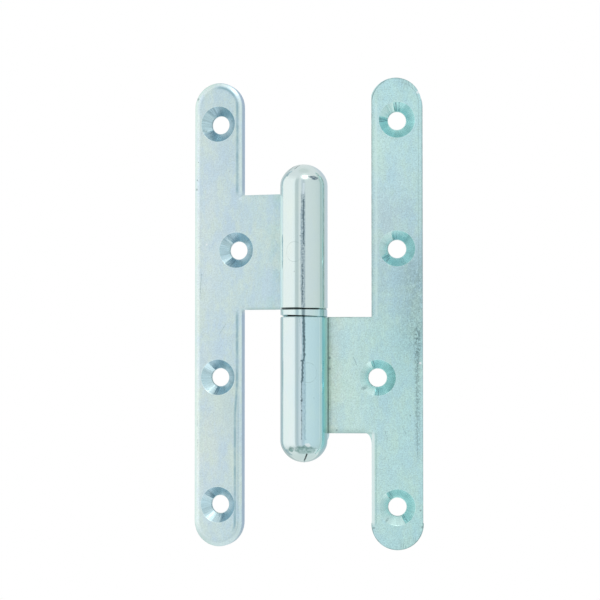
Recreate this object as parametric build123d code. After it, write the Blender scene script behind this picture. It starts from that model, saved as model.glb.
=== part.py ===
"""Lift-off hinge: two long round-ended leaves, a fixed pin and a loose thrust washer.

Lengths are millimetres. +Z runs up the pin's axis, and the origin is on that axis at the middle
of the washer. The frame leaf lies along +X and its countersunk front faces -Y. The door leaf lies
along -X, turned about the pin by door_turn from the flat, fully open position.
"""

import os
from math import acos, atan2, degrees, hypot, radians, sqrt, tan

from build123d import *

# Leaves
leaf_height = 140.0
leaf_reach = 35.2
sheet = 3.0
face_setback = 1.5
strip_width = 15.2
flange_height = 34.45
door_turn = 14.0

# Pin, washer and the fits between them
pin_radius = 4.0
pin_above = 34.0
pin_below = 33.5
pin_lead = 2.0
pin_lead_depth = 0.9
pin_foot_chamfer = 0.5
bore_clearance = 0.05
washer_thickness = 2.3
washer_clearance = 0.1
washer_inset = 0.05
washer_bevel_widest = 1.1
washer_bevel_least = 0.1
washer_bevel_slope = 0.55

# Rolled knuckles and their domed ends
crank_radius = 14.2
seam_gap = 0.16
seam_overhang = 0.45
knuckle_overrun = 2.0
dome_height = 6.5
dome_shoulder = 5.6
dome_seam_width = 0.25
dome_seam_depth = 0.9
dome_seam_start = 0.4
dome_seam_end = 5.0
door_seam_bearing = 225.0
frame_seam_bearing = 276.0

# Screw holes
screw_pitch = 38.3
screw_offset = 5.8
hole_radius = 2.7
countersink_radius = 5.4
countersink_half_angle = 45.0

# Edges left by the press tools
die_roll_width = 1.4
die_roll_depth = 0.65
die_roll_softness = 2.0
edge_break = 0.2
rim_break = 0.3
inner_bevel_width = 0.9
inner_bevel_depth = 0.5
outer_bevel_width = 0.8
outer_bevel_depth = 0.2
crop_step = 0.15
crop_shift = 0.4
crop_drop = 1.1
corner_width = 1.7
corner_height = 3.5

# Worked out from the sizes above
strip_middle = leaf_reach - strip_width / 2
strip_inner = leaf_reach - strip_width
strip_top = leaf_height / 2
sheet_middle = face_setback + sheet / 2
sheet_back = face_setback + sheet
knuckle_foot = washer_thickness / 2
flange_top = knuckle_foot + flange_height
door_bore = pin_radius + bore_clearance
countersink_depth = (countersink_radius - hole_radius) / tan(radians(countersink_half_angle))
back_plane = Plane((0, sheet_back, 0), x_dir=(1, 0, 0), z_dir=(0, -1, 0))


def leaf_roll(bore):
    """Section of a leaf: the sheet passes behind the pin, goes round it and lands on its own front face."""
    middle = bore + sheet / 2
    outside = bore + sheet
    crank = crank_radius + sheet / 2
    crank_y = sheet_middle + crank
    crank_x = sqrt((crank + middle) ** 2 - crank_y**2)
    start = degrees(atan2(crank_y, crank_x))
    # The free end leaves the round along a tangent and stops just short of the flange.
    corner_x = outside + seam_overhang
    corner_y = crank_y - sqrt((crank + sheet / 2) ** 2 - (crank_x - corner_x) ** 2) - seam_gap
    corner = hypot(corner_x, corner_y)
    tangent = degrees(atan2(corner_y, corner_x) - acos(outside / corner))
    leave = Vector(middle, 0).rotate(Axis.Z, tangent)
    tip = leave + Vector(0, sqrt(corner**2 - outside**2)).rotate(Axis.Z, tangent)
    path = [
        Line((strip_inner, sheet_middle), (crank_x, sheet_middle)),
        CenterArc((crank_x, crank_y), crank, -90, start - 90),
        CenterArc((0, 0), middle, start, 360 + tangent - start),
        Line(leave, tip),
    ]
    return trace(Curve() + path, line_width=sheet), crank_x


def dome_wall(outside, wall):
    """Revolved wall that closes a knuckle: a short straight, a shoulder and a flatter crown."""
    spring = flange_top + knuckle_overrun
    inside = outside - dome_shoulder
    crown = (outside**2 + dome_height**2 - 2 * outside * dome_shoulder) / (2 * (dome_height - dome_shoulder))
    crown_z = spring + dome_height - crown
    turn = degrees(atan2(crown - dome_height, inside))
    edges = [Line((outside - wall, flange_top), (outside, flange_top))]
    for skin in (0, wall):
        edges += [
            Line((outside - skin, flange_top), (outside - skin, spring)),
            CenterArc((inside, spring), dome_shoulder - skin, 0, turn),
            CenterArc((0, crown_z), crown - skin, turn, 90 - turn),
        ]
    edges += [Line((0, crown_z + crown - wall), (0, crown_z + crown))]
    return revolve(Plane.XZ * make_face(Curve() + edges), Axis.Z)


def dome_seam(outside, bearing):
    """Shallow slit where the end of the sheet was worked shut over the dome."""
    slot = Pos(dome_seam_start, 0, 0) * Box(
        dome_seam_end - dome_seam_start,
        dome_seam_width,
        leaf_height,
        align=(Align.MIN, Align.CENTER, Align.CENTER),
    )
    return dome_wall(outside, dome_seam_depth) & (Rot(0, 0, bearing) * slot)


def knuckle(section, outside, seam_bearing):
    """Rolled part of a leaf with its domed end, standing on knuckle_foot and open below."""
    roll = Pos(0, 0, knuckle_foot) * extrude(section, flange_height)
    foot = roll.edges().group_by(Axis.Z)[0].filter_by(GeomType.CIRCLE)
    roll = chamfer(foot.sort_by(SortBy.LENGTH)[-1], rim_break)
    # What stands out of the round at the free end tapers into it along the overrun.
    lips = (section - Circle(outside)).faces().sort_by(SortBy.AREA)
    lip = Pos(0, 0, flange_top) * extrude(lips[0], knuckle_overrun)
    taper = Pos(0, 0, flange_top) * Cone(
        outside + 2 * seam_overhang, outside, knuckle_overrun, align=(Align.CENTER, Align.CENTER, Align.MIN)
    )
    return roll + dome_wall(outside, sheet) + (lip & taper) - dome_seam(outside, seam_bearing)


def screw_hole(x, z):
    """Countersunk hole, cut from the front face."""
    through = Cylinder(hole_radius, 4 * sheet)
    over = sheet
    spread = over * (countersink_radius - hole_radius) / countersink_depth
    sink = Cone(
        hole_radius,
        countersink_radius + spread,
        countersink_depth + over,
        align=(Align.CENTER, Align.CENTER, Align.MIN),
    )
    return Plane((x, face_setback, z), x_dir=(1, 0, 0), z_dir=(0, -1, 0)) * (
        through + Pos(0, 0, -countersink_depth) * sink
    )


def screw_holes():
    """Four holes down the strip; the upper inner one stands nearer the pin."""
    return [
        screw_hole(strip_middle - (screw_offset if row == 0.5 else 0), row * screw_pitch)
        for row in (-1.5, -0.5, 0.5, 1.5)
    ]


def flange_outline(crank_x):
    """Flat part of the leaf between the screw strip and the bend of the knuckle."""
    return Pos(crank_x, knuckle_foot) * Rectangle(
        strip_middle - crank_x, flange_height, align=(Align.MIN, Align.MIN)
    )


def rolled_over(blank, crank_x):
    """The blank with the edges of its front face drawn down by the die, apart from those at the bend."""
    front = blank.faces().sort_by(Axis.Y)[0]
    rim = [edge for edge in front.edges() if edge.center().X > crank_x + edge_break]
    blank = chamfer(rim, die_roll_width, die_roll_depth, reference=front)
    front = blank.faces().sort_by(Axis.Y)[0]
    crest = [edge for edge in front.edges() if edge.center().X > crank_x + edge_break]
    blank = fillet(crest, die_roll_softness)
    level = face_setback + die_roll_depth
    rim = [edge for edge in blank.edges() if abs(edge.center().Y - level) < edge_break / 10]
    return fillet([edge for edge in rim if edge.center().X > crank_x + edge_break], edge_break)


def door_leaf():
    """Leaf with the upper knuckle, with the edges of its front face rolled over by the press."""
    section, crank_x = leaf_roll(door_bore)
    end = strip_top - strip_width / 2
    outline = Pos(strip_middle, 0) * Rectangle(strip_width, 2 * end)
    outline += [Pos(strip_middle, z) * Circle(strip_width / 2) for z in (-end, end)]
    outline += flange_outline(crank_x)
    blank = rolled_over(extrude(back_plane * outline, sheet), crank_x)
    leaf = blank + knuckle(section, door_bore + sheet, -door_seam_bearing - 180)
    leaf -= screw_holes()
    return Rot(0, 0, -door_turn) * mirror(leaf, about=Plane.YZ)


def frame_leaf():
    """Leaf with the lower knuckle, bevelled along its long edges and cropped with small shoulders."""
    section, crank_x = leaf_roll(pin_radius)
    round_radius = strip_width / 2
    crop_radius = round_radius + crop_step
    foot_z = strip_top - crop_radius
    head_z = strip_top - round_radius
    # The leaf is drawn foot up: a wide crop at its foot, and two strokes of the crop at its head.
    outline = Pos(strip_middle, foot_z) * Rectangle(
        strip_width, foot_z + head_z - crop_drop, align=(Align.CENTER, Align.MAX)
    )
    outline += Pos(strip_middle, foot_z) * (
        Circle(crop_radius) - Rectangle(3 * crop_radius, crop_radius, align=(Align.CENTER, Align.MAX))
    )
    outline += Pos(strip_middle, crop_drop - head_z) * Circle(round_radius)
    second_stroke = Pos(strip_middle - crop_shift, -head_z) * Circle(round_radius)
    outline += second_stroke & (Pos(strip_middle, 0) * Rectangle(strip_width, leaf_height))
    outline += flange_outline(crank_x)
    outline += Pos(strip_inner, flange_top) * (
        Rectangle(corner_width, corner_height, align=(Align.MAX, Align.MIN))
        - Pos(-corner_width, corner_height) * Ellipse(corner_width, corner_height)
    )
    blank = extrude(back_plane * outline, sheet)
    front = blank.faces().sort_by(Axis.Y)[0]
    upright = front.edges().filter_by(Axis.Z)
    inner = [edge for edge in upright if abs(edge.center().X - strip_inner) < crop_step]
    outer = [edge for edge in upright if abs(edge.center().X - leaf_reach) < crop_step]
    blank = chamfer(inner, inner_bevel_width, inner_bevel_depth, reference=front)
    front = blank.faces().sort_by(Axis.Y)[0]
    blank = chamfer(outer, outer_bevel_width, outer_bevel_depth, reference=front)
    leaf = blank + knuckle(section, pin_radius + sheet, frame_seam_bearing)
    leaf -= screw_holes()
    return mirror(leaf, about=Plane.XY)


def hinge_pin():
    """Plain pin, pressed into the lower knuckle, with a tapered head to find the upper bore."""
    pin = Pos(0, 0, -pin_below) * Cylinder(
        pin_radius, pin_above + pin_below, align=(Align.CENTER, Align.CENTER, Align.MIN)
    )
    side = pin.faces().filter_by(GeomType.CYLINDER)[0]
    pin = chamfer(pin.edges().sort_by(Axis.Z)[-1], pin_lead, pin_lead_depth, reference=side)
    return chamfer(pin.edges().sort_by(Axis.Z)[0], pin_foot_chamfer)


def thrust_washer():
    """Ring with a broken upper edge and, round its foot, a bevel off centre that is widest at -X."""
    outside = pin_radius + sheet - washer_inset
    ring = Cylinder(outside, washer_thickness) - Cylinder(pin_radius + washer_clearance, washer_thickness)
    ring = chamfer(ring.edges().group_by(Axis.Z)[-1].sort_by(SortBy.RADIUS)[-1], rim_break)
    foot = outside - (washer_bevel_widest + washer_bevel_least) / 2
    shift = (washer_bevel_widest - washer_bevel_least) / 2
    bevel = Pos(shift, 0, -washer_thickness / 2) * Cone(
        foot,
        foot + washer_thickness / washer_bevel_slope,
        washer_thickness,
        align=(Align.CENTER, Align.CENTER, Align.MIN),
    )
    return ring & bevel


os.makedirs("parts", exist_ok=True)
for build in (frame_leaf, door_leaf, hinge_pin, thrust_washer):
    export_step(build(), f"parts/{build.__name__}.step")
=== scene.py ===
# %% [markdown]
# # A lift-off hinge in zinc-plated steel
# The hinge has four pieces: two rolled sheet leaves, the pin that is pressed into the lower knuckle, and the
# loose washer that the door's weight turns on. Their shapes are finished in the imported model, down to the
# countersinks, the seams and the edges that the press drew over. So this lesson models nothing twice. It is
# about the finish, which on a real hinge is thin and busy: bright zinc under a bluish passivation film, with
# tool marks below it and handling marks on top.

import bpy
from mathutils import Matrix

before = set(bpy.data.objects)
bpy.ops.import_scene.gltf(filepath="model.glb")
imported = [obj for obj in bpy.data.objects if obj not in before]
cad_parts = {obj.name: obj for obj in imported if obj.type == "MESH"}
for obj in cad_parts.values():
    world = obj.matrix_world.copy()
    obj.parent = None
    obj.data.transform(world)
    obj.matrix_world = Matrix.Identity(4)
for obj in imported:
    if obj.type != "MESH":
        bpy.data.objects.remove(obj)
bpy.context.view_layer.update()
mm_per_metre = 1000.0


print("pieces:", sorted(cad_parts))

# %% [markdown]
# ## Camera
# A catalogue picture of a hinge is taken from the front with a long lens, so that the leaves stay parallel.
# The camera could be aimed by hand. Here its bearing, distance and focal length are written down as one
# would note them in a studio, and the lens shift moves the framing without turning the camera, which would
# make the two leaves converge.

# %% Place the camera
from math import cos, pi, radians, sin

import bpy
from mathutils import Vector

camera_distance = 0.484
camera_bearing = radians(2.8)
camera_elevation = radians(-1.5)
frame_pixels = 600
focal_length_pixels = 1635
sensor_width = 36.0
pin_axis_pixel = (303.9, 313.0)

lens = bpy.data.cameras.new("studio_camera")
lens.sensor_width = sensor_width
lens.lens = focal_length_pixels * sensor_width / frame_pixels
lens.shift_x = (frame_pixels / 2 - pin_axis_pixel[0]) / frame_pixels
lens.shift_y = (pin_axis_pixel[1] - frame_pixels / 2) / frame_pixels
lens.clip_start = 0.01
lens.clip_end = 20
camera = bpy.data.objects.new("studio_camera", lens)
towards_camera = Vector((
    sin(camera_bearing) * cos(camera_elevation),
    -cos(camera_bearing) * cos(camera_elevation),
    sin(camera_elevation),
))
camera.location = towards_camera * camera_distance
camera.rotation_euler = (-towards_camera).to_track_quat("-Z", "Y").to_euler()
bpy.context.scene.collection.objects.link(camera)
bpy.context.scene.camera = camera
bpy.context.scene.view_settings.view_transform = "Standard"
print("lens in mm:", round(lens.lens, 1))

# %% [markdown]
# ## Writing shader nodes as arithmetic
# A procedural finish is mostly sums: how far a point is from an edge, which way it lies round a hole. Placed
# by hand, such sums take dozens of Math nodes. A small class that stands for one wire between two nodes lets
# Python's own plus and times signs place them, so that a formula in this file reads as a formula.

# %% A wire between nodes
def connect(value, slot):
    """Links a wire to a socket, or sets the socket where the value is a plain one."""
    if isinstance(value, Wire):
        value.tree.links.new(value.socket, slot)
    else:
        slot.default_value = value


def arithmetic(operation, swapped=False, clamp=False):
    """A method that places one Math node behind a wire."""

    def place(self, *others):
        node = self.tree.nodes.new("ShaderNodeMath")
        node.operation = operation
        node.use_clamp = clamp
        values = (self, *others)
        for value, slot in zip(reversed(values) if swapped else values, node.inputs):
            connect(value, slot)
        return Wire(self.tree, node.outputs[0])

    return place


class Wire:
    """One value on its way through a node tree."""

    def __init__(self, tree, socket):
        self.tree = tree
        self.socket = socket

    __add__ = __radd__ = arithmetic("ADD")
    __mul__ = __rmul__ = arithmetic("MULTIPLY")
    __sub__ = arithmetic("SUBTRACT")
    __rsub__ = arithmetic("SUBTRACT", swapped=True)
    __truediv__ = arithmetic("DIVIDE")
    smaller = arithmetic("MINIMUM")
    larger = arithmetic("MAXIMUM")
    below = arithmetic("LESS_THAN")
    size = arithmetic("ABSOLUTE")
    whole = arithmetic("ROUND")
    root = arithmetic("SQRT")
    angle_over = arithmetic("ARCTAN2")
    cosine = arithmetic("COSINE")
    clamped = arithmetic("ADD", clamp=True)

# %% [markdown]
# Four helpers wrap nodes that the room and every finish use. Each takes the tree from the wire that it is
# given, so it works in a node group and in a material alike. More helpers come where they are first needed.

# %% Steps, mixes and ramps
def smooth_step(value, low, high):
    """0 below low, 1 above high, and a soft S between. High may be the smaller one, which turns it over."""
    node = value.tree.nodes.new("ShaderNodeMapRange")
    node.interpolation_type = "SMOOTHSTEP"
    rising = high > low
    connect(value, node.inputs["Value"])
    node.inputs["From Min"].default_value = min(low, high)
    node.inputs["From Max"].default_value = max(low, high)
    node.inputs["To Min"].default_value = 0.0 if rising else 1.0
    node.inputs["To Max"].default_value = 1.0 if rising else 0.0
    return Wire(value.tree, node.outputs[0])


def split(vector):
    """The x, y and z of a vector."""
    node = vector.tree.nodes.new("ShaderNodeSeparateXYZ")
    connect(vector, node.inputs[0])
    return [Wire(vector.tree, socket) for socket in node.outputs]


def mix_color(factor, under, over, mode="MIX"):
    """Two colours mixed by a factor."""
    node = factor.tree.nodes.new("ShaderNodeMix")
    node.data_type = "RGBA"
    node.blend_type = mode
    connect(factor, node.inputs["Factor"])
    for value, label in ((under, "A"), (over, "B")):
        slot = next(each for each in node.inputs if each.name == label and each.type == "RGBA")
        connect(value, slot)
    result = next(each for each in node.outputs if each.type == "RGBA")
    return Wire(factor.tree, result)


def ramp(value, stops, smooth=True):
    """Colour ramp with stops as (place, colour)."""
    node = value.tree.nodes.new("ShaderNodeValToRGB")
    node.color_ramp.interpolation = "EASE" if smooth else "LINEAR"
    elements = node.color_ramp.elements
    while len(elements) < len(stops):
        elements.new(1.0)
    for element, (place, color) in zip(elements, sorted(stops)):
        element.position = place
        element.color = (*color, 1.0)
    connect(value, node.inputs[0])
    return Wire(value.tree, node.outputs[0])

# %% [markdown]
# ## Studio
# Metal shows its surroundings more than its own colour, so the surroundings are the first thing to get right.
# Real lamps could do it alone, but the bands on a polished knuckle come from everything in the room. The
# world is therefore painted by bearing: a white wall to the left, a grey gap, the dim place where the camera
# stands, and a softer grey-green wall to the right. Where the lamp of the next step hangs, a halo is painted,
# so that its reflection fades out and has no hard border. Rays from the camera itself see plain white.

# %% The room as the metal sees it
def direction_of(bearing_degrees, elevation_degrees):
    """Unit vector from the hinge to a place in the room. Bearing 0 is straight in front."""
    side, rise = radians(bearing_degrees), radians(elevation_degrees)
    return Vector((sin(side) * cos(rise), -cos(side) * cos(rise), sin(rise)))


def bearing_stops(bands):
    """Ramp stops of bands given as (bearing in degrees, colour)."""
    return [((bearing + 180) / 360, color) for bearing, color in bands]


room_bands = [
    (-180, (0.90, 0.92, 0.93)),
    (-158, (0.60, 0.67, 0.68)),
    (-142, (0.58, 0.66, 0.68)),
    (-126, (0.90, 0.95, 0.95)),
    (-116, (1.03, 1.05, 1.04)),
    (-60, (1.04, 1.06, 1.05)),
    (-46, (0.98, 1.04, 1.05)),
    (-42, (0.64, 0.72, 0.73)),
    (-29, (0.60, 0.69, 0.71)),
    (-23, (0.84, 0.89, 0.90)),
    (-14, (0.82, 0.87, 0.89)),
    (-10, (0.64, 0.72, 0.77)),
    (2, (0.64, 0.72, 0.77)),
    (8, (0.78, 0.85, 0.87)),
    (50, (0.74, 0.82, 0.83)),
    (80, (0.68, 0.77, 0.78)),
    (84, (0.62, 0.72, 0.72)),
    (88, (0.45, 0.60, 0.59)),
    (93, (0.45, 0.60, 0.59)),
    (98, (0.66, 0.76, 0.73)),
    (138, (0.66, 0.73, 0.80)),
    (162, (0.66, 0.73, 0.80)),
    (180, (0.90, 0.92, 0.93)),
]

world = bpy.data.worlds.new("studio")
bpy.context.scene.world = world
world.use_nodes = True
room = world.node_tree
room.nodes.clear()
direction = Wire(room, room.nodes.new("ShaderNodeTexCoord").outputs["Generated"])
east, north, up = split(direction)
bearing = east.angle_over(north * -1.0) - camera_bearing
room_color = ramp(bearing / (2 * pi) + 0.5, bearing_stops(room_bands), smooth=False)
ceiling_color = (0.86, 0.90, 0.91, 1.0)
ground_color = (0.74, 0.81, 0.81, 1.0)
overhead_color = (0.76, 0.82, 0.82, 1.0)
halo_color = (1.15, 1.2, 1.18, 1.0)
white = (1.0, 1.0, 1.0, 1.0)
seen_color = mix_color(smooth_step(up, 0.45, 0.8), room_color, ceiling_color)
seen_color = mix_color(smooth_step(up, -0.3, -0.7), seen_color, ground_color)
seen_color = mix_color(smooth_step(up, 0.93, 0.985), seen_color, overhead_color)

softbox_bearing = 10
softbox_elevation = 51
halo_core = 10
halo_reach = 25
softbox = direction_of(softbox_bearing, softbox_elevation)
nearness = east * softbox.x + north * softbox.y + up * softbox.z
halo = smooth_step(nearness, cos(radians(halo_reach)), cos(radians(halo_core)))
seen_color = mix_color(halo, seen_color, halo_color)

light_path = room.nodes.new("ShaderNodeLightPath")
is_camera = Wire(room, light_path.outputs["Is Camera Ray"])
background = room.nodes.new("ShaderNodeBackground")
connect(mix_color(is_camera, seen_color, white), background.inputs["Color"])
world_output = room.nodes.new("ShaderNodeOutputWorld")
room.links.new(background.outputs[0], world_output.inputs["Surface"])
print("bands in the room:", len(room_bands))

# %% [markdown]
# One soft lamp above and in front gives the light a direction and puts the bright oval on the domed end of
# the upper knuckle. It is weak, so that a colour renders about as it is written.

# %% Lamp
def soft_lamp(name, bearing_degrees, elevation_degrees, distance, width, height, radiance):
    """Area lamp that faces the hinge. Radiance is its brightness as the metal sees it."""
    away = direction_of(bearing_degrees, elevation_degrees)
    data = bpy.data.lights.new(name, "AREA")
    data.shape = "ELLIPSE"
    data.size = width
    data.size_y = height
    data.energy = radiance * pi * width * height
    lamp = bpy.data.objects.new(name, data)
    lamp.location = away * distance
    lamp.rotation_euler = (-away).to_track_quat("-Z", "Y").to_euler()
    bpy.context.scene.collection.objects.link(lamp)
    print(name, "gives", round(data.energy, 2), "W")


soft_lamp(
    "ceiling_softbox", softbox_bearing, softbox_elevation, distance=0.9, width=0.36, height=0.28, radiance=1.4
)

# %% [markdown]
# The floor lies well below the hinge, so its shadow stays out of the front view. It is a plain pale sheet.
# Part of its brightness is its own, for rays that come from the camera, off metal or through glass, so that
# it is as white as the background and has no visible rim. The rest is light that falls on it, which leaves
# room for a shadow. It is kept small, so that the metal reflects the walls of the room above its rim and not
# a sea of white paper.

# %% Floor
floor_height = -0.17
floor_radius = 0.15
floor_albedo = 0.72
floor_glow = 0.40

floor_mesh = bpy.data.meshes.new("floor")
rim_points = 96
rim_angles = [2 * pi * step / rim_points for step in range(rim_points)]
rim = [(floor_radius * cos(angle), floor_radius * sin(angle), floor_height) for angle in rim_angles]
floor_mesh.from_pydata(rim, [], [tuple(range(rim_points))])
floor = bpy.data.objects.new("floor", floor_mesh)
bpy.context.scene.collection.objects.link(floor)

paper = bpy.data.materials.new("pale_paper")
paper.use_nodes = True
sheet_of_paper = paper.node_tree
sheet_of_paper.nodes.clear()
matt = sheet_of_paper.nodes.new("ShaderNodeBsdfDiffuse")
matt.inputs["Color"].default_value = (floor_albedo, floor_albedo, floor_albedo, 1.0)
glow = sheet_of_paper.nodes.new("ShaderNodeEmission")
paths = sheet_of_paper.nodes.new("ShaderNodeLightPath")
from_camera, from_metal, from_glass = (
    Wire(sheet_of_paper, paths.outputs[f"Is {kind} Ray"]) for kind in ("Camera", "Glossy", "Transmission")
)
connect(from_camera.larger(from_metal).larger(from_glass) * floor_glow, glow.inputs["Strength"])
both = sheet_of_paper.nodes.new("ShaderNodeAddShader")
sheet_of_paper.links.new(matt.outputs[0], both.inputs[0])
sheet_of_paper.links.new(glow.outputs[0], both.inputs[1])
paper_output = sheet_of_paper.nodes.new("ShaderNodeOutputMaterial")
sheet_of_paper.links.new(both.outputs[0], paper_output.inputs["Surface"])
floor_mesh.materials.append(paper)
print("the floor lies", round(-floor_height * 1000), "mm below the middle of the hinge")

# %% [markdown]
# ## Effects that several finishes share
# Film, grain, scuffs and pits occur on the leaves and on the washer. Each is a node group with named sockets,
# built once and placed with other values in each material. A group only gives out numbers and colours. The
# shader itself stays in the material.

# %% Making and placing an effect
socket_kinds = {"value": "NodeSocketFloat", "vector": "NodeSocketVector", "color": "NodeSocketColor"}


class Effect:
    """A node group: named inputs on the left, named outputs on the right."""

    def __init__(self, name, inputs, outputs):
        self.tree = bpy.data.node_groups.new(name, "ShaderNodeTree")
        for label, (kind, usual) in inputs.items():
            socket = self.tree.interface.new_socket(label, in_out="INPUT", socket_type=socket_kinds[kind])
            socket.default_value = usual
        for label, kind in outputs.items():
            self.tree.interface.new_socket(label, in_out="OUTPUT", socket_type=socket_kinds[kind])
        self.entry = self.tree.nodes.new("NodeGroupInput")
        self.exit = self.tree.nodes.new("NodeGroupOutput")
        print("effect", name, "takes", ", ".join(inputs), "and gives", ", ".join(outputs))

    def __getitem__(self, label):
        return Wire(self.tree, self.entry.outputs[label])

    def give(self, label, value):
        """Sends a wire to a named output."""
        connect(value, self.exit.inputs[label])

    def place(self, tree, **values):
        """Puts the group into a material and returns its outputs by name."""
        node = tree.nodes.new("ShaderNodeGroup")
        node.node_tree = self.tree
        for label, value in values.items():
            connect(value, node.inputs[label])
        return {socket.name: Wire(tree, socket) for socket in node.outputs}

# %% [markdown]
# **Where on the leaf.** Both leaves were cut by the same tools, and then one was turned over. If each
# material measures its points in the leaf's own millimetres, the holes, the flange and the outline have the
# same numbers on both. Object coordinates ride with the body, so the marks stay put when the hinge swings. On
# the knuckle a flat measure would squeeze the marks at its sides, so the group also gives the way round it.

# %% Leaf coordinates
def combine(x, y, z):
    """Vector of three numbers, of which x is a wire."""
    node = x.tree.nodes.new("ShaderNodeCombineXYZ")
    for value, slot in zip((x, y, z), node.inputs):
        connect(value, slot)
    return Wire(x.tree, node.outputs[0])


def vector_math(operation, *values):
    """One Vector Math node."""
    node = values[0].tree.nodes.new("ShaderNodeVectorMath")
    node.operation = operation
    for value, slot in zip(values, node.inputs):
        connect(value, slot)
    return Wire(values[0].tree, node.outputs[0])


def rotated(position, kind, angle):
    """A position turned by an angle, where the kind names the axis."""
    node = position.tree.nodes.new("ShaderNodeVectorRotate")
    node.rotation_type = kind
    connect(position, node.inputs["Vector"])
    connect(angle, node.inputs["Angle"])
    return Wire(position.tree, node.outputs[0])


knuckle_radius = 7.35

leaf_space = Effect(
    "leaf_space",
    {"Turn": ("value", 0.0), "Side": ("value", 1.0), "Head": ("value", 1.0)},
    {"Position": "vector", "X": "value", "Y": "value", "Z": "value", "Around": "value"},
)
local = leaf_space.tree.nodes.new("ShaderNodeTexCoord")
turned = rotated(Wire(leaf_space.tree, local.outputs["Object"]), "Z_AXIS", leaf_space["Turn"])
mirror = combine(leaf_space["Side"] * mm_per_metre, mm_per_metre, leaf_space["Head"] * mm_per_metre)
leaf_position = vector_math("MULTIPLY", turned, mirror)
leaf_space.give("Position", leaf_position)
leaf_axes = split(leaf_position)
for label, value in zip("XYZ", leaf_axes):
    leaf_space.give(label, value)
leaf_space.give("Around", leaf_axes[0].angle_over(leaf_axes[1] * -1.0) * knuckle_radius)

# %% [markdown]
# **Passivation film.** A clear film a fraction of a micron thick shows pale blue, lilac and mint where its
# thickness drifts. Thin-film optics could compute that, but the drift matters more than the physics, so two
# slow noises mix a cool and a warm tint into the base colour, and both fade in so softly that no patch has a
# border. A third, finer noise makes the film lighter and darker from grain to grain.

# %% Film
def noise(position, size, detail=2.0, roughness=0.5, moved=(0, 0, 0)):
    """Cloudy noise about 0.5. Size is the width of its blobs in mm, one for all or one for each axis."""
    sizes = size if isinstance(size, tuple) else (size, size, size)
    scaled = vector_math("MULTIPLY", position, tuple(1 / each for each in sizes))
    node = position.tree.nodes.new("ShaderNodeTexNoise")
    connect(vector_math("ADD", scaled, moved), node.inputs["Vector"])
    node.inputs["Scale"].default_value = 1.0
    node.inputs["Detail"].default_value = detail
    node.inputs["Roughness"].default_value = roughness
    return Wire(position.tree, node.outputs[0])


def shaded(color, factor):
    """A colour made lighter or darker by a factor."""
    return vector_math("MULTIPLY", color, combine(factor, factor, factor))


film = Effect(
    "passivation_film",
    {
        "Position": ("vector", (0, 0, 0)),
        "Base": ("color", (0.7, 0.8, 0.8, 1)),
        "Cool": ("color", (0.7, 0.75, 0.85, 1)),
        "Warm": ("color", (0.7, 0.85, 0.78, 1)),
        "Strength": ("value", 1.0),
        "Grit": ("value", 0.1),
    },
    {"Color": "color"},
)
film_place = film["Position"]
cool_noise = noise(film_place, (5.0, 5.0, 12.0), detail=6.0, roughness=0.72)
warm_noise = noise(film_place, (4.5, 4.5, 9.0), detail=6.0, roughness=0.72, moved=(7, 2, 4))
cool_patch = smooth_step(cool_noise, 0.40, 0.64)
warm_patch = smooth_step(warm_noise, 0.42, 0.66)
film_color = mix_color(cool_patch * film["Strength"], film["Base"], film["Cool"])
film_color = mix_color(warm_patch * film["Strength"], film_color, film["Warm"])
fine_grit = noise(film_place, 0.36, detail=3.0, roughness=0.8) - 0.5
broad_grit = noise(film_place, 1.5, detail=2.0, moved=(1, 8, 3)) - 0.5
film.give("Color", shaded(film_color, (fine_grit + broad_grit * 0.16) * film["Grit"] * 2.0 + 1.0))

# %% [markdown]
# **Sheet grain.** Cold-rolled sheet has fine pits and short streaks along its rolling direction, and the zinc
# follows them. Modelled, they would need millions of faces. As bump they cost nothing, and they break up the
# reflections as the real ones do.

# %% Grain
grain = Effect(
    "sheet_grain",
    {"Position": ("vector", (0, 0, 0)), "Depth": ("value", 0.004)},
    {"Height": "value"},
)
fine = noise(grain["Position"], 0.32, detail=3.0, roughness=0.7)
streaks = noise(grain["Position"], (0.35, 0.35, 5.0), detail=2.0)
grain.give("Height", (fine + streaks * 0.5) * grain["Depth"])

# %% [markdown]
# **Scuffs.** Hinges rub against each other in their box. The scuffs are long thin noise, kept only at its
# peaks and only inside patches, because handling marks come in groups.

# %% Scuffs
scuffs = Effect(
    "scuffs",
    {"Position": ("vector", (0, 0, 0)), "Turn": ("value", 0.4), "Amount": ("value", 0.5)},
    {"Mask": "value"},
)
scuff_place = rotated(scuffs["Position"], "Y_AXIS", scuffs["Turn"])
hairs = smooth_step(noise(scuff_place, (0.22, 0.22, 9.0), detail=1.0), 0.68, 0.76)
groups = smooth_step(noise(scuff_place, 7.0, moved=(3.1, 0.4, 9.7)), 0.5, 0.66)
scuffs.give("Mask", hairs * groups * scuffs["Amount"])

# %% [markdown]
# **Pits.** A few deep pits stay dark where the plating did not reach. Voronoi cells scatter points evenly,
# and a random number for each cell keeps only a few of them.

# %% Pits
def cells(position, size, output="Distance"):
    """Voronoi cells about size mm apart: distance to the nearest centre, or a random colour for each."""
    node = position.tree.nodes.new("ShaderNodeTexVoronoi")
    connect(vector_math("MULTIPLY", position, (1 / size,) * 3), node.inputs["Vector"])
    node.inputs["Scale"].default_value = 1.0
    return Wire(position.tree, node.outputs[output])


pit_spacing = 1.6

pits = Effect(
    "pits",
    {"Position": ("vector", (0, 0, 0)), "Share": ("value", 0.05)},
    {"Mask": "value"},
)
pit_pick = split(cells(pits["Position"], pit_spacing, "Color"))[0]
pit_core = smooth_step(cells(pits["Position"], pit_spacing), 0.13, 0.05)
pits.give("Mask", pit_core * pit_pick.below(pits["Share"]))

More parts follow.
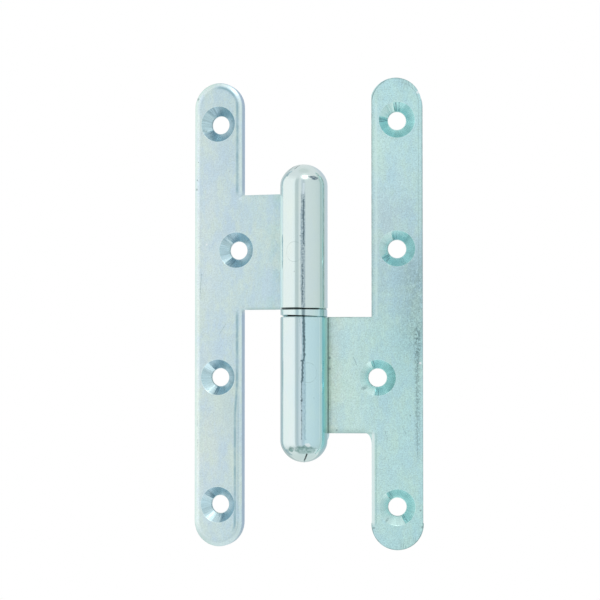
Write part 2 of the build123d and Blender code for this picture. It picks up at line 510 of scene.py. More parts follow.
# %% [markdown]
# **Countersinks.** A dull cutter chatters and leaves flat rays in the cone, and each ray shines its own way.
# On top of that a cone splits the room in two: the sector that faces the bright wall is pale, and the rest is
# dark, with a crisp step between them where one flat of the chatter ends. The group finds the nearest of the
# four holes from their pitch, then measures the radius and the angle round it. One of the four stands nearer
# to the pin than the others.

# %% Countersinks
def length_of(x, y):
    """Length of the flat vector (x, y)."""
    return (x * x + y * y).root()


def window(value, low, high, soft):
    """1 between low and high, fading to 0 over soft on either side."""
    return smooth_step(value, low - soft, low + soft) * smooth_step(value, high + soft, high - soft)


hole_pitch = 38.3
strip_middle = 27.6
offset_hole_shift = 5.8
countersink_radius = 5.4
hole_radius = 2.7

countersink = Effect(
    "countersink",
    {
        "Position": ("vector", (0, 0, 0)),
        "Lit from": ("value", 0.0),
        "Turn per hole": ("value", 0.0),
        "Narrowness": ("value", 0.5),
        "Narrower per hole": ("value", 0.0),
        "Flatness": ("value", 0.0),
    },
    {"Cone": "value", "Rim": "value", "Rays": "value", "Pale": "value", "Step": "value", "Height": "value"},
)
leaf_x, _, leaf_z = split(countersink["Position"])
row = ((leaf_z / hole_pitch) - 0.5).whole() + 0.5
is_offset = (leaf_z - hole_pitch / 2).size().below(hole_pitch / 2)
across = leaf_x - strip_middle + is_offset * offset_hole_shift
along = leaf_z - row * hole_pitch
hole_distance = length_of(across, along)
on_cone = window(hole_distance, hole_radius - 0.3, countersink_radius - 0.05, 0.08)
countersink.give("Cone", on_cone)
countersink.give("Rim", window(hole_distance, countersink_radius - 0.1, countersink_radius + 0.12, 0.08))

# %% [markdown]
# The chatter is noise that runs along the angle only: its position is a point on a circle, shifted a little
# for each hole, so that no two holes are alike. A fine and a coarse one are added. The coarse one also moves
# the ends of the pale sector. A steep cone reflects its own far side and looks dark. In the pale sector the
# height rises towards the hole, as if the cutter had cut shallower there, so it reflects the room instead.
# The four holes see the bright wall from four heights, so the sector turns and changes its width from one
# hole to the next. The row counts them from the middle of the leaf, from -1.5 to 1.5.

# %% Rays in the cone
row_shift = 11.0
round_trip = combine(hole_distance * 0.03 + row * row_shift, across / hole_distance, along / hole_distance)
rays = noise(round_trip, 0.11, detail=2.0, roughness=0.65)
broad_rays = noise(round_trip, 0.42, detail=0.0, moved=(3, 5, 1))
off_light = along.angle_over(across) - countersink["Lit from"] - row * countersink["Turn per hole"]
lean = off_light.cosine() + (broad_rays - 0.5) * 0.5
into_sector = lean - countersink["Narrowness"] - row * countersink["Narrower per hole"]
pale = smooth_step(into_sector, 0.0, 0.1)
countersink.give("Rays", rays * 0.6 + broad_rays * 0.4)
countersink.give("Pale", pale)
countersink.give("Step", window(into_sector, -0.22, 0.02, 0.03) * smooth_step(rays, 0.46, 0.56))
flatter = (countersink_radius - hole_distance) * pale * countersink["Flatness"]
countersink.give("Height", (rays * 0.03 + flatter) * on_cone)
print("nodes in the countersink effect:", len(countersink.tree.nodes))

# %% [markdown]
# **Outline.** Edges are where plating builds up and where it is knocked off, so a mask along them is useful.
# The leaf is a strip with round ends joined to a flat flange, and both shapes have a short distance formula.
# The smaller of the two distances is the distance to the outline of the whole leaf.

# %% Distance to the outline
strip_half_width = 7.6
strip_straight = 62.4
flange_low = 1.15
flange_high = 35.6

outline = Effect("leaf_outline", {"Position": ("vector", (0, 0, 0))}, {"Inside": "value", "Strip": "value"})
x, _, z = split(outline["Position"])
past_straight = (z.size() - strip_straight).larger(0.0)
to_strip = length_of(past_straight, x - strip_middle) - strip_half_width
to_flange = (z - (flange_low + flange_high) / 2).size() - (flange_high - flange_low) / 2
to_flange = to_flange.larger(x - strip_middle)
outline.give("Inside", to_strip.smaller(to_flange) * -1.0)
outline.give("Strip", to_strip * -1.0)
print("effects:", len(bpy.data.node_groups))

# %% [markdown]
# ## Marks with a place of their own
# Noise makes marks everywhere and nowhere in particular. A used tool also leaves a few that sit at one spot:
# a nick, a scratch, a row of dots along the line where the roll closed. They could be painted on an image.
# Distance to a point and distance to a line give the same marks as numbers, which stay sharp at any zoom.

# %% Spots, strokes, rings and blots
def spots(x, z, places):
    """Mask of small round marks, each given as (x, z, radius) in millimetres."""
    mask = x * 0.0
    for place_x, place_z, radius in places:
        mask = mask.larger(smooth_step(length_of(x - place_x, z - place_z), radius * 1.3, radius * 0.6))
    return mask


def strokes(x, z, lines):
    """Mask of straight marks, each given as (start, end, width) in millimetres."""
    mask = x * 0.0
    for (x0, z0), (x1, z1), width in lines:
        run, rise = x1 - x0, z1 - z0
        reach = run * run + rise * rise
        part = ((x - x0) * (run / reach) + (z - z0) * (rise / reach)).clamped(0.0)
        distance = length_of(x - part * run - x0, z - part * rise - z0)
        mask = mask.larger(smooth_step(distance, width * 0.8, width * 0.35))
    return mask


def rings(x, z, places):
    """Mask of thin circles, each given as (x, z, radius) in millimetres."""
    mask = x * 0.0
    for place_x, place_z, radius in places:
        mask = mask.larger(window(length_of(x - place_x, z - place_z), radius - 0.08, radius + 0.08, 0.12))
    return mask


def blots(x, z, places):
    """Mask of soft oval marks, each given as (x, z, half width, half height) in millimetres."""
    mask = x * 0.0
    for place_x, place_z, half_width, half_height in places:
        off = length_of((x - place_x) / half_width, (z - place_z) / half_height)
        mask = mask.larger(smooth_step(off, 1.15, 0.7))
    return mask

# %% [markdown]
# ## The leaves
# Both leaves get the same layers from the same functions, and what differs between them is in the values.
# The flat of a leaf comes first: its tint drifts from one end to the other, because it hung upright in the
# bath. The film then goes over that tint. Every later mark is one more layer: a mask and a colour.

# %% The flat of a leaf
leaf_half = 70.0


def tints_along(value, reach, tints):
    """Colour that drifts with a value in mm between -reach and reach, from (value, colour) pairs."""
    stops = [((at + reach) / (2 * reach), tint) for at, tint in tints]
    return ramp((value + reach) / (2 * reach), stops)


def layered(color, layers):
    """A colour with layers over it, each given as (mask, colour), the lowest one first."""
    for mask, tone in layers:
        color = mix_color(mask, color, tone)
    return color


def flat_color(tree, place, leaf):
    """Colour of the flat sheet, before the marks."""
    position, x, z = place["Position"], place["X"], place["Z"]
    ragged_x = x + (noise(position, 6.0, detail=3.0, moved=(9, 3, 5)) - 0.5) * 6.0
    base = layered(tints_along(z, leaf_half, leaf["tints"]), [
        (smooth_step(ragged_x, 24.0, 14.0) * 0.8, leaf["flange_tint"]),
        # Painted shade on the flange beside the knuckle.
        (smooth_step(ragged_x, 13.0, 8.5) * 0.6, leaf["shadow_tint"]),
    ])
    drift = mix_color(smooth_step(x, 35.0, 21.0), leaf["outer_tint"], leaf["inner_tint"])
    coat = film.place(
        tree, Position=position, Base=vector_math("MULTIPLY", base, drift),
        Cool=leaf["cool"], Warm=leaf["warm"], Strength=leaf["film"], Grit=leaf["grit"],
    )
    return coat["Color"]

# %% [markdown]
# Along the outline the two leaves differ most. On one the press drew the edge down, and its shading is
# painted: a dark reflection line just inside the edge, a painted highlight on the crest between that line and
# the edge, a darker side wall, and darker rims that tone down its reflections at the outer side and the foot.
# Towards the far end of the leaf the line moves inwards and a thin second one runs beside it.

# %% The drawn edge
def drawn_edge(place, edge, leaf, color):
    """Colour with the painted shading and highlight of the edge that the press drew down."""
    z, strip, inner_side, uneven = place["Z"], edge["Strip"], edge["Inner side"], edge["Uneven"]
    low_end = smooth_step(z, -20.0, -32.0)
    above_foot = smooth_step(z, -66.5, -63.0)
    off_flange = 1.0 - window(z, 0.5, 36.5, 1.2) * inner_side
    dark_reflection_band = window(strip - low_end * 0.6, 1.15, 1.8, 0.3) * inner_side * (uneven * 0.4 + 0.6)
    second_line = window(strip, 1.08, 1.2, 0.14) * inner_side * low_end
    lines = dark_reflection_band.larger(second_line) * off_flange * above_foot
    crest = window(strip, 0.3, 0.75, 0.2) * inner_side * off_flange * (uneven * 0.5 + 0.5)
    crest = crest * (1.0 - low_end * 0.7)
    side_wall = smooth_step(strip, 0.12, 0.02) * inner_side * off_flange
    outer_rim = smooth_step(strip, 1.3, 0.3) * (1.0 - inner_side)
    foot_rim = smooth_step(strip, 2.0, 1.2) * smooth_step(z, -62.0, -67.0)
    drawn = leaf["roll_line"]
    return layered(color, [
        # Painted shading of the drawn edge: a dark reflection line, a highlight on the crest, darker wall and
        # rims.
        (lines * drawn, (0.32, 0.50, 0.56, 1)),
        (crest * drawn * 0.7, (0.88, 0.98, 0.92, 1)),
        (side_wall * drawn, (0.50, 0.60, 0.72, 1)),
        (outer_rim * drawn * 0.7, (0.66, 0.82, 0.76, 1)),
        (foot_rim * drawn * 0.6, (0.52, 0.64, 0.64, 1)),
    ])

# %% [markdown]
# On the other leaf the edge is crisp. Its inner side has a bevel with a painted highlight and a thin dark
# line along the outline, and two dark lines, painted shading of the edge, run along its outer side. The
# flange has a soft dark rim at both ends.

# %% The crisp edge
def crisp_edge(place, edge, leaf, color):
    """Colour with the painted highlight and shading of the bevelled edge, the rims of the flange and the
    burr.
    """
    x, z, strip, uneven = place["X"], place["Z"], edge["Strip"], edge["Uneven"]
    inner_edge = smooth_step(x, 25.0, 23.0) * smooth_step(z.size(), 63.5, 61.5) * leaf["bevel"]
    before_flange = smooth_step(z, 1.4, 0.8) * inner_edge
    past_flange = smooth_step(z, 34.5, 36.5) * inner_edge
    outer_edge = (1.0 - edge["Inner side"]) * smooth_step(z, -3.0, -12.0) * leaf["bevel"]
    outer_lines = window(strip, 1.14, 1.34, 0.12).larger(window(strip, 0.1, 0.42, 0.1))
    low_rim, high_rim = leaf["flange_rims"]
    flange_rim = smooth_step(z, flange_high - 2.0, flange_high - 0.2) * high_rim
    flange_rim = flange_rim.larger(smooth_step(z, flange_low + 1.0, flange_low + 0.1) * low_rim)
    on_flange = smooth_step(x, 19.0, 17.5)
    burr = window(edge["Inside"], -0.1, 0.2, 0.1) * (uneven * 0.6 + 0.4) * (1.0 - past_flange)
    return layered(color, [
        # Painted highlights on the bevel, with painted dark lines beside them.
        (window(strip, 1.1, 1.75, 0.25) * before_flange * 0.45, (0.84, 1.0, 0.95, 1)),
        (window(strip, 0.05, 0.6, 0.15) * before_flange * 0.2, (0.30, 0.42, 0.40, 1)),
        (window(strip, 0.0, 0.85, 0.12) * past_flange, (0.91, 1.0, 0.96, 1)),
        (window(strip, 1.1, 1.5, 0.14) * past_flange * 0.3, (0.26, 0.40, 0.38, 1)),
        (outer_lines * outer_edge * 0.36, (0.28, 0.38, 0.36, 1)),
        (flange_rim * on_flange, (0.44, 0.58, 0.54, 1)),
        (burr * leaf["burr"], (0.26, 0.36, 0.34, 1)),
    ])


def edge_color(tree, place, leaf, color):
    """Colour with all the marks and the painted shading along the outline."""
    position = place["Position"]
    edge = outline.place(tree, Position=position)
    edge["Uneven"] = smooth_step(noise(position, 2.2, detail=3.0, moved=(5, 1, 2)), 0.36, 0.62)
    edge["Inner side"] = smooth_step(place["X"], 30.0, 26.0)
    return crisp_edge(place, edge, leaf, drawn_edge(place, edge, leaf, color))

# %% [markdown]
# A cone is cut smoother than the sheet, so most of the film's drift and grit is taken out of it first. Then
# the dark and the pale sector, which are painted reflections, multiply the colour below them. A multiply is
# how a darker reflection acts, where a plain mix would look like paint. The dark step between the sectors is
# painted too, and the bright ring at the rim is a painted highlight.

# %% The countersinks of a leaf
def countersink_color(sink, cone, leaf, color):
    """Colour with the cones of the four screw holes and their painted reflections."""
    # Painted reflection: the pale and the dark sector of each cone.
    shade = mix_color(sink["Pale"], leaf["cone_dark"], leaf["cone_pale"])
    shade = shaded(shade, (sink["Rays"] - 0.5) * leaf["ray_contrast"] + 1.0)
    color = mix_color(cone * 0.75, color, leaf["cone_base"])
    color = mix_color(cone, color, shade, "MULTIPLY")
    return layered(color, [
        # A painted dark step between the sectors, and a painted highlight round the rim.
        (sink["Step"] * cone * 0.6, (0.16, 0.24, 0.28, 1)),
        (sink["Rim"] * leaf["rim"], (0.78, 0.92, 0.92, 1)),
    ])

# %% [markdown]
# The knuckle was rolled between polished tools, so it is much brighter than the flat. Its tints are painted
# reflections and go round it, because it shows another part of the room from every side. Dark streaks and
# lines at its front are the camera's own dark reflection, painted and broken up by noise, and white strokes
# are painted glints.

# %% The round of a knuckle
round_half = 12.0


def knuckle_color(tree, place, front, leaf):
    """Colour of the rolled knuckle: painted reflections, painted glints and marks of rolling."""
    position, z, around = place["Position"], place["Z"], place["Around"]
    # Painted reflections: the base colour changes round the knuckle with the part of the room that it shows.
    coat = film.place(
        tree, Position=position, Base=tints_along(around, round_half, leaf["knuckle_tints"]),
        Cool=leaf["cool"], Warm=leaf["warm"], Strength=0.15, Grit=0.05,
    )
    # Painted dark reflection of the camera: a streak at the front, broken up by noise, and jagged lines.
    streak_low, streak_high = leaf["tear_band"]
    broken_streak = smooth_step(noise(position, 0.42, detail=2.0, roughness=0.7), 0.4, 0.62) * 0.75 + 0.25
    tears = window(around, streak_low, streak_high, 0.2) * window(z, 1.0, 35.0, 0.8) * broken_streak
    jagged = around + (noise(position, 0.8, detail=3.0, roughness=0.7) - 0.5) * 1.2
    faded = smooth_step(noise(position, 2.5, moved=(2, 6, 1)), 0.4, 0.6) * 0.3 + 0.1
    return layered(coat["Color"], [
        (tears * front * leaf["tears"], (0.14, 0.21, 0.27, 1)),
        (strokes(jagged, z, leaf["dark_lines"]) * front * 0.85, (0.10, 0.17, 0.19, 1)),
        (strokes(jagged, z, leaf["soft_lines"]) * front * 0.4, (0.30, 0.45, 0.52, 1)),
        # Painted glints along the knuckle.
        (strokes(around, z, leaf["bright_lines"]) * front * 0.8, (0.95, 1.0, 1.0, 1)),
        (spots(around, z, leaf["dots"]) * front * 0.8, (0.08, 0.12, 0.14, 1)),
        (rings(around, z, leaf["tool_rings"]) * front * faded, (0.36, 0.46, 0.46, 1)),
    ])

# %% [markdown]
# On the closed end a press pushed the sheet together and left a crack. Its tip is painted darker, which tones
# down its reflection, and dark patches are painted beside the seam, on the lower knuckle a painted dark
# reflection. A white patch there is a painted highlight. At the other end, its foot, the gap against the
# washer is painted dark: its shade, with some grime.

# %% The ends of a knuckle
crack_and_gap_black = (0.02, 0.03, 0.03, 1)


def knuckle_ends(place, front, leaf, color):
    """Colour with the closed end of the knuckle, its painted shade and highlights, and the painted dark gap
    at its foot.
    """
    position, x, z, around = place["Position"], place["X"], place["Z"], place["Around"]
    ragged_x = x + (noise(position, 1.2, detail=3.0) - 0.5) * 1.6
    ragged_z = z + (noise(position, 1.2, detail=3.0, moved=(4, 4, 4)) - 0.5)
    facets = smooth_step(noise(position, 0.8, detail=1.0, moved=(6, 0, 6)), 0.38, 0.62) * 0.35 + 0.65
    dark_patch = blots(ragged_x, ragged_z, leaf["dull_patches"]) * facets
    # The gap at the foot is painted dark: painted shade, with some grime.
    gap_low, gap_high, left_top, right_top = leaf["foot_dirt"]
    gap_top = smooth_step(around, -3.0, 0.5) * (right_top - left_top) + left_top
    gap_shade_and_dirt = window(around, gap_low, gap_high, 0.5) * smooth_step(z - gap_top, 0.08, -0.08)
    return layered(color, [
        # Painted shade and a painted dark reflection on the closed end, and a painted highlight.
        (smooth_step(z, 38.0, 42.5) * leaf["dull_end"], (0.52, 0.62, 0.60, 1)),
        (dark_patch * front * 0.9, leaf["dull_tint"]),
        (blots(x, ragged_z, leaf["bright_patches"]) * front * 0.7, white),
        (strokes(x, z, leaf["end_cracks"]) * front * 0.95, crack_and_gap_black),
        (gap_shade_and_dirt * 0.92, crack_and_gap_black),
    ])

# %% [markdown]
# The marks of handling lie over everything on the flat. The rough stretch of the edge, where the leaf rubbed
# on the others in the barrel, is a fine scribble of noise. The rounded corners look combed. A scratch is
# broken along its way, because the scratching edge jumped over the grain.

# %% Handling marks
def handled_color(tree, place, leaf, color):
    """Colour with nicks, scratches, the rough edge and painted glints."""
    position, x, z = place["Position"], place["X"], place["Z"]
    rough_strip = window(x, 32.8, 34.3, 0.6) * window(z, 4.0, 43.0, 4.0) * smooth_step(z, 90.0, 5.0)
    rough_patch = smooth_step(x, 25.0, 33.0) * window(z, -16.0, 12.0, 7.0) * 0.6
    scribble = smooth_step(noise(position, (0.42, 0.42, 0.5), detail=4.0, roughness=0.75), 0.44, 0.57)
    combed = smooth_step(noise(position, (0.26, 0.26, 2.4), detail=2.0), 0.5, 0.62)
    outer_corners = smooth_step(z.size(), 64.5, 68.5) * smooth_step(x, 26.0, 31.0)
    broken = smooth_step(noise(position, 0.5, detail=2.0, moved=(8, 8, 2)), 0.35, 0.6) * 0.5 + 0.1
    rubs = scuffs.place(tree, Position=position, Turn=0.5)
    rough = leaf["rough_edge"]
    return layered(color, [
        (scribble * (rough_strip + rough_patch) * rough, (0.20, 0.30, 0.30, 1)),
        (rough_patch * rough * 0.16, (0.22, 0.30, 0.36, 1)),
        (combed * outer_corners * rough * 0.7, (0.30, 0.42, 0.42, 1)),
        (rubs["Mask"] * 0.45, (0.92, 0.97, 0.97, 1)),
        (strokes(x, z, leaf["scratches"]) * broken, (0.28, 0.40, 0.41, 1)),
        (spots(x, z, leaf["nicks"]) * 0.6, (0.25, 0.33, 0.34, 1)),
        # Painted glints: small white spots.
        (spots(x, z, leaf["bright_nicks"]) * 0.85, white),
    ])

# %% [markdown]
# Then everything meets in one material. The marks of handling are kept to the front face and the rounding of
# its edge, or they would run down the side walls as stripes. Heights are summed in millimetres and go through
# one Bump node, whose distance turns them into metres.

# %% Leaf finish
def new_metal(name):
    """A material with a bare metal shader: the material, its node tree and the shader."""
    material = bpy.data.materials.new(name)
    material.use_nodes = True
    shader = material.node_tree.nodes["Principled BSDF"]
    shader.inputs["Metallic"].default_value = 1.0
    return material, material.node_tree, shader


def emboss(shader, height):
    """Gives a shader a relief, with its height in millimetres."""
    bump = height.tree.nodes.new("ShaderNodeBump")
    bump.inputs["Distance"].default_value = 1 / mm_per_metre
    connect(height, bump.inputs["Height"])
    height.tree.links.new(bump.outputs["Normal"], shader.inputs["Normal"])


def leaf_finish(name, leaf):
    """Material of a rolled leaf."""
    material, tree, shader = new_metal(name)
    place = leaf_space.place(tree, Turn=leaf["turn"], Side=leaf["side"], Head=leaf["head"])
    position, x, y, z = (place[label] for label in ("Position", "X", "Y", "Z"))
    on_knuckle = smooth_step(length_of(x, y), knuckle_radius + 0.35, knuckle_radius + 0.05)
    off_back = smooth_step(y, 4.2, 4.0)
    near_face = smooth_step(y, 3.0, 2.4)
    knuckle_front = smooth_step(y, 0.5, -0.5)

    color = edge_color(tree, place, leaf, flat_color(tree, place, leaf))
    sink = countersink.place(tree, Position=position, **leaf["pale_sector"])
    cone = sink["Cone"] * off_back
    color = countersink_color(sink, cone, leaf, color)
    color = mix_color(near_face, color, handled_color(tree, place, leaf, color))
    knuckle = knuckle_color(tree, place, knuckle_front, leaf)
    color = mix_color(on_knuckle, color, knuckle_ends(place, knuckle_front, leaf, knuckle))
    # The crevice of the seam is painted dark: painted shade.
    seam = window(x, 7.0, 7.32, 0.08) * smooth_step(y, 3.0, 2.0) * window(z, flange_low, flange_high, 0.3)
    ragged = smooth_step(noise(position, (0.4, 0.4, 1.2), detail=3.0, roughness=0.7), 0.3, 0.6)
    seam = seam * (ragged * 0.3 + 0.7) * leaf["seam_dirt"]
    dark_pits = pits.place(tree, Position=position, Share=0.03)["Mask"]
    color = layered(color, [(seam, (0.02, 0.06, 0.06, 1)), (dark_pits * 0.5, (0.18, 0.22, 0.24, 1))])
    connect(color, shader.inputs["Base Color"])

    flat_rough, knuckle_rough = leaf["roughness"]
    rough = on_knuckle * (knuckle_rough - flat_rough) + flat_rough
    rough = rough + (noise(position, 3.0, detail=3.0) - 0.5) * 0.1 - cone * 0.12 + seam * 0.5
    connect(rough, shader.inputs["Roughness"])

    skin = grain.place(tree, Position=position, Depth=0.006)
    height = skin["Height"] * (1.0 - on_knuckle * 0.9) + sink["Height"] * off_back - dark_pits * 0.03
    emboss(shader, height + noise(position, 5.0, detail=1.0) * 0.01)
    return material

# %% [markdown]
# The values of the two leaves. Lengths are in the leaf's millimetres: across the leaf from the pin's axis,
# and along it from the middle of the washer towards the closed end of its knuckle. On the knuckle the first
# number is the way round it. Spots are (across, along, radius), strokes (start, end, width) and patches
# (across, along, half width, half height). A fourth 1 in a colour is its alpha, which a socket asks for.

# %% Tints of the door leaf
door_tints = {
    "turn": radians(14.0), "side": -1.0, "head": 1.0,
    "tints": [
        (-64, (0.74, 0.85, 0.88)), (-40, (0.78, 0.845, 0.845)), (-28, (0.76, 0.835, 0.82)),
        (-8, (0.74, 0.84, 0.89)), (10, (0.77, 0.86, 0.89)), (30, (0.76, 0.84, 0.87)),
        (48, (0.72, 0.81, 0.86)), (66, (0.65, 0.77, 0.83)),
    ],
    "flange_tint": (0.76, 0.87, 0.87, 1), "shadow_tint": (0.54, 0.75, 0.74, 1),
    "outer_tint": (1.06, 1.04, 1.01, 1), "inner_tint": (0.92, 0.96, 0.965, 1),
    "cool": (0.66, 0.785, 0.905, 1), "warm": (0.81, 0.89, 0.79, 1), "film": 0.6, "grit": 0.36,
    "roll_line": 0.9, "bevel": 0.0, "flange_rims": (0.5, 0.1), "burr": 0.12, "roughness": (0.36, 0.1),
    "cone_base": (0.735, 0.83, 0.865, 1), "cone_dark": (0.53, 0.66, 0.72, 1),
    "cone_pale": (0.78, 0.88, 0.91, 1), "ray_contrast": 0.95, "rim": 0.25,
    "pale_sector": {
        "Lit from": radians(-6), "Turn per hole": radians(15),
        "Narrowness": 0.5, "Narrower per hole": 0.17, "Flatness": 0.1,
    },
    "knuckle_tints": [
        (-12, (0.74, 0.82, 0.80)), (5.2, (0.74, 0.82, 0.80)), (6.4, (0.86, 0.95, 0.93)),
        (8.5, (0.84, 0.93, 0.91)), (12, (0.74, 0.82, 0.80)),
    ],
}
print("tints along the door leaf:", len(door_tints["tints"]))

# %% Marks of the door leaf
door_marks = {
    "tear_band": (-2.55, -1.25), "tears": 0.62, "seam_dirt": 0.0, "rough_edge": 0.1,
    "dark_lines": [((-2.1, 20.0), (-2.0, 33.0), 0.25), ((-1.6, 3.0), (-1.7, 14.0), 0.2)],
    "soft_lines": [((-1.2, 6.0), (-1.25, 30.0), 0.25)],
    "bright_lines": [((-2.0, 34.8), (-2.1, 37.6), 0.5)],
    "dots": [(-1.0, 22.4, 0.15), (0.9, 12.0, 0.12)],
    "tool_rings": [(0.9, 17.8, 2.9)],
    "dull_end": 0.15, "dull_tint": (0.07, 0.13, 0.19, 1),
    "dull_patches": [(-4.6, 39.45, 0.85, 0.5), (-3.8, 39.7, 0.8, 0.26)],
    "bright_patches": [],
    "end_cracks": [((1.5, 42.3), (0.5, 43.5), 0.15)],
    "foot_dirt": (-7.4, 7.3, 1.38, 1.53),
    "scratches": [
        ((33.4, 5.0), (32.9, 12.0), 0.2), ((25.0, -3.0), (27.0, -6.0), 0.15),
        ((34.2, -31.0), (34.25, -34.0), 0.16), ((34.15, -38.0), (34.1, -41.2), 0.16),
        ((32.3, 55.6), (30.0, 55.3), 0.8), ((30.4, 54.3), (29.2, 52.7), 0.5),
    ],
    "nicks": [(34.15, 65.3, 0.4), (34.5, 37.8, 0.35), (34.3, 40.6, 0.25), (33.9, 46.0, 0.2)],
    "bright_nicks": [(31.2, 21.0, 0.3)],
}
print("scratches on the door leaf:", len(door_marks["scratches"]))

# %% Tints of the frame leaf
frame_tints = {
    "turn": 0.0, "side": 1.0, "head": -1.0,
    "tints": [
        (-68, (0.61, 0.86, 0.86)), (-50, (0.67, 0.88, 0.86)), (-40, (0.65, 0.84, 0.86)),
        (-28, (0.61, 0.76, 0.79)), (-8, (0.54, 0.71, 0.74)), (8, (0.57, 0.80, 0.79)),
        (42, (0.63, 0.86, 0.83)), (66, (0.59, 0.84, 0.83)),
    ],
    "flange_tint": (0.73, 0.92, 0.85, 1), "shadow_tint": (0.78, 0.86, 0.75, 1),
    "outer_tint": (0.96, 0.98, 0.98, 1), "inner_tint": (1.03, 1.01, 1.0, 1),
    "cool": (0.55, 0.77, 0.865, 1), "warm": (0.71, 0.89, 0.73, 1), "film": 0.4, "grit": 0.53,
    "roll_line": 0.0, "bevel": 1.0, "flange_rims": (0.1, 0.5), "burr": 0.75, "roughness": (0.38, 0.1),
    "cone_base": (0.62, 0.82, 0.82, 1), "cone_dark": (0.78, 0.95, 0.95, 1),
    "cone_pale": (1.0, 1.0, 0.98, 1), "ray_contrast": 0.65, "rim": 0.15,
    "pale_sector": {
        "Lit from": radians(190), "Turn per hole": radians(-28),
        "Narrowness": 0.45, "Narrower per hole": -0.25, "Flatness": 0.14,
    },
    "knuckle_tints": [
        (-12, (0.72, 0.81, 0.82)), (-2.5, (0.74, 0.82, 0.83)), (-1.8, (0.66, 0.76, 0.79)),
        (-0.4, (0.65, 0.77, 0.80)), (0.5, (0.645, 0.83, 0.86)), (5.3, (0.63, 0.81, 0.85)),
        (5.8, (0.85, 0.97, 1.0)), (6.3, (0.85, 0.97, 1.0)), (6.9, (0.46, 0.74, 0.82)),
        (7.3, (0.36, 0.67, 0.73)), (7.8, (0.34, 0.66, 0.69)), (8.3, (0.40, 0.69, 0.66)),
        (9.2, (0.37, 0.59, 0.56)), (12, (0.60, 0.80, 0.76)),
    ],
}
print("tints along the frame leaf:", len(frame_tints["tints"]))

# %% Marks of the frame leaf
frame_marks = {
    "tear_band": (-0.3, 0.9), "tears": 0.15, "seam_dirt": 0.95, "rough_edge": 0.68,
    "dark_lines": [
        ((0.2, 1.6), (0.45, 8.0), 0.62), ((0.45, 8.0), (0.4, 14.0), 0.5),
        ((-0.05, 14.0), (-0.1, 20.0), 0.46), ((-0.35, 20.0), (-0.35, 25.5), 0.2),
        ((-0.6, 14.2), (0.3, 13.6), 0.3), ((-0.4, 26.0), (-0.4, 37.0), 0.12),
    ],
    "soft_lines": [((0.68, 14.0), (0.75, 37.0), 0.35), ((-0.8, 1.8), (-0.3, 9.0), 0.4)],
    "bright_lines": [
        ((6.4, 15.4), (6.45, 17.0), 0.5), ((6.4, 21.0), (6.4, 22.9), 0.5), ((-0.5, 2.0), (-0.5, 12.0), 0.2),
    ],
    "dots": [(-0.35, 25.7, 0.34), (0.5, 7.0, 0.3), (-0.4, 28.6, 0.2), (-0.4, 31.4, 0.2)],
    "tool_rings": [(1.6, 17.6, 2.9)],
    "dull_end": 0.9, "dull_tint": (0.19, 0.32, 0.30, 1),
    "dull_patches": [(0.6, 40.1, 3.1, 1.4), (-3.4, 40.0, 1.0, 0.8)],
    "bright_patches": [(1.4, 38.7, 0.9, 0.5)],
    "end_cracks": [((1.14, 41.4), (0.29, 43.4), 0.36)],
    "foot_dirt": (-6.4, 4.8, 1.21, 1.21),
    "scratches": [
        ((14.6, 13.0), (15.6, 15.5), 0.2), ((24.0, 35.0), (24.6, 37.4), 0.2),
        ((29.2, 33.6), (30.1, 35.8), 0.2), ((33.4, 9.0), (33.5, 14.0), 0.22),
        ((33.5, 15.5), (33.35, 24.0), 0.26), ((33.4, 28.0), (33.5, 42.0), 0.22),
        ((17.4, 22.4), (19.6, 21.1), 0.9), ((24.2, 61.6), (25.7, 59.8), 0.45),
    ],
    "nicks": [
        (7.6, 13.3, 0.4), (7.6, 16.5, 0.35), (31.4, 30.3, 0.25), (34.4, 58.3, 0.3),
        (9.64, 34.7, 0.3), (20.6, 63.5, 0.35), (34.9, 63.2, 0.35),
    ],
    "bright_nicks": [(33.8, -65.6, 0.45), (34.4, 14.85, 0.35)],
}
print("scratches on the frame leaf:", len(frame_marks["scratches"]))

# %% Finish both leaves
def dress(node_name, material):
    """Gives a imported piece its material."""
    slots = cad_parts[node_name].data.materials
    slots.clear()
    slots.append(material)
    print(node_name, "wears", material.name, "with", len(material.node_tree.nodes), "nodes")


dress("door_leaf", leaf_finish("zinc_blue_grey", door_tints | door_marks))
dress("frame_leaf", leaf_finish("zinc_teal", frame_tints | frame_marks))

# %% [markdown]
# ## Washer and pin
# The washer is turned from bar, so its marks run round it. The two gaps that it turns against are painted
# dark: their shade, with some grime. Its rim carries painted reflection bands like those of the knuckles,
# with the camera's own dark reflection across it. The pin is drawn bar, so its marks run along it, and its
# polished sides are seen only when the door is lifted off.

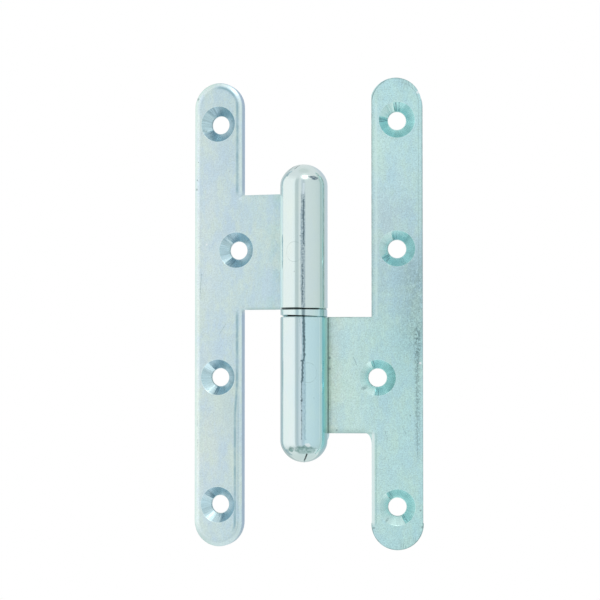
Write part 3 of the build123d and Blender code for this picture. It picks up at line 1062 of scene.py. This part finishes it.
# %% Washer and pin finish
def turned_finish(name, rim_tints_and_reflections, roughness, line_size, gap_shade_and_dirt):
    """Material with fine tool lines, gaps painted dark, and tints as (place in mm round the rim, colour)."""
    material, tree, shader = new_metal(name)
    place = leaf_space.place(tree)
    position, z = place["Position"], place["Z"]
    coat = film.place(
        tree, Position=position, Base=tints_along(place["Around"], round_half, rim_tints_and_reflections),
        Cool=(0.66, 0.76, 0.86, 1), Warm=(0.72, 0.84, 0.80, 1), Strength=0.4, Grit=0.06,
    )
    uneven = (noise(position, 2.0, detail=2.0) - 0.5) * 0.16
    rim = smooth_step(length_of(place["X"], place["Y"]), 5.9, 6.3)
    # The two gaps are painted dark: painted shade, with some grime.
    gap = smooth_step(z.size() + uneven, 0.97, 1.08) * rim * gap_shade_and_dirt
    gap = gap * (smooth_step(z, -0.5, 0.5) * 0.6 + 0.4)
    connect(mix_color(gap, coat["Color"], crack_and_gap_black), shader.inputs["Base Color"])
    lines = noise(position, line_size, detail=2.0)
    connect(lines * 0.1 + gap * 0.4 + (roughness - 0.05), shader.inputs["Roughness"])
    emboss(shader, lines * 0.004)
    return material


# Painted reflection bands round the washer's rim, with the camera's dark reflection at the front.
washer_reflection_tints = [
    (-12, (0.72, 0.83, 0.83)), (-2.3, (0.72, 0.83, 0.83)), (-1.9, (0.58, 0.72, 0.77)),
    (-1.5, (0.58, 0.72, 0.77)), (-1.1, (0.74, 0.90, 0.90)), (-0.5, (0.76, 0.92, 0.90)),
    (-0.2, (0.22, 0.31, 0.33)), (0.4, (0.24, 0.33, 0.35)), (0.95, (0.72, 0.85, 0.84)),
    (3.0, (0.71, 0.86, 0.83)), (4.6, (0.64, 0.83, 0.83)), (5.6, (0.67, 0.90, 0.93)),
    (6.2, (0.45, 0.69, 0.71)), (7.2, (0.49, 0.74, 0.71)), (8.2, (0.42, 0.62, 0.57)),
    (12, (0.72, 0.83, 0.83)),
]
pin_tints = [(-12, (0.66, 0.67, 0.67)), (12, (0.66, 0.67, 0.67))]
dress("thrust_washer", turned_finish(
    "zinc_turned", washer_reflection_tints, roughness=0.14, line_size=(4.0, 4.0, 0.06), gap_shade_and_dirt=0.9
))
dress("hinge_pin", turned_finish(
    "bright_drawn_steel", pin_tints, roughness=0.2, line_size=(0.08, 0.08, 6.0), gap_shade_and_dirt=0.0
))
